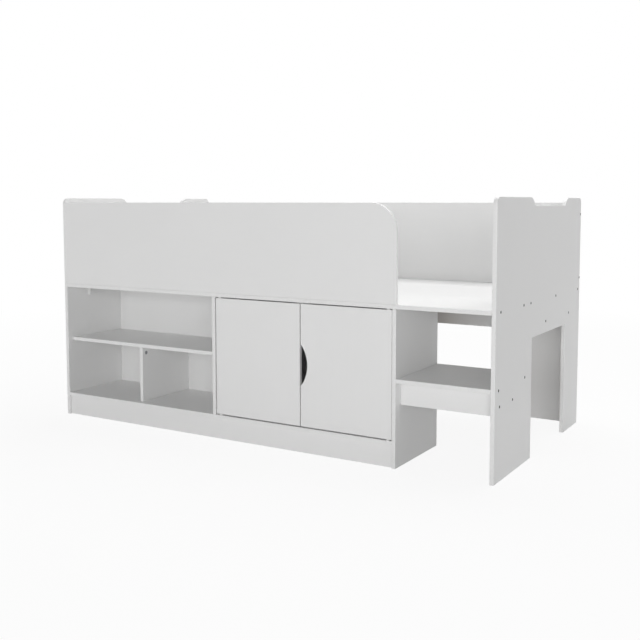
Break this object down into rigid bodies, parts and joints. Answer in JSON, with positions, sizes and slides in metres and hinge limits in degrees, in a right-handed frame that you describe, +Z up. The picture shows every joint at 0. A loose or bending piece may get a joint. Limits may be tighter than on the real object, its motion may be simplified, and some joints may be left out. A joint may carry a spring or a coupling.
{
  "type": "cabin bed",
  "caption": "Raised cabin bed in white board, with a bookcase, a cupboard with hinged doors and a step under its front half, and an arch through each end.",
  "frame": {"origin": "on the floor, in the middle of the bed's length and depth", "axes": "+X along the bed towards the step end, +Y from the front with the doors to the rear, +Z up"},
  "size_m": [1.96, 0.98, 0.94],
  "materials": {
    "white_board": "chipboard with a satin white foil face and matching edges",
    "back_sheet": "thin hardboard with a white painted face",
    "dark_screw": "blackened steel, hexagon socket",
    "plated_steel": "bright zinc plated",
    "cast_zinc": "die-cast zinc, satin",
    "white_plastic": "moulded nylon",
    "white_metal": "white powder-coated steel",
    "beech": "unfinished beech"
  },
  "bodies": {
    "bed": {"end_panel_left": "white_board", "end_panel_right": "white_board", "front_guard": "white_board", "rear_guard": "white_board", "deck_front": "white_board", "deck_middle": "white_board", "deck_rear": "white_board", "deck_rail_middle": "white_board", "deck_rail_rear": "white_board", "rear_leg_left": "white_board", "rear_leg_right": "white_board", "mid_panel": "white_board", "side_panel": "white_board", "bottom_board": "white_board", "plinth": "white_board", "bookcase_shelf": "white_board", "bookcase_divider": "white_board", "bookcase_back": "back_sheet", "cupboard_back": "back_sheet", "step_tread": "white_board", "step_apron": "white_board", "step_rail": "white_board", "pivot_bushes": "white_plastic", "magnetic_catch": "white_plastic", "end_screws_left": "dark_screw", "end_screws_right": "dark_screw", "step_screws": "dark_screw", "guard_screws": "dark_screw", "base_screws": "dark_screw", "cam_locks": "cast_zinc", "cam_bolts": "plated_steel", "dowels": "beech", "angle_brackets": "white_metal", "bracket_screws": "plated_steel", "catch_screws": "plated_steel", "back_nails": "plated_steel"},
    "door_left": {"door_left": "white_board", "pivot_pins_left": "plated_steel", "strike_plate_left": "plated_steel", "strike_screw_left": "plated_steel"},
    "door_right": {"door_right": "white_board", "pivot_pins_right": "plated_steel", "strike_plate_right": "plated_steel", "strike_screw_right": "plated_steel"}
  },
  "joints": [
    {"name": "door_left_hinge", "type": "hinge", "parent": "bed", "child": "door_left", "pos_m": [-0.14, -0.4805, 0.327], "axis": [0, 0, -1], "range_deg": [0, 105]},
    {"name": "door_right_hinge", "type": "hinge", "parent": "bed", "child": "door_right", "pos_m": [0.589, -0.4805, 0.327], "axis": [0, 0, 1], "range_deg": [0, 105]}
  ]
}
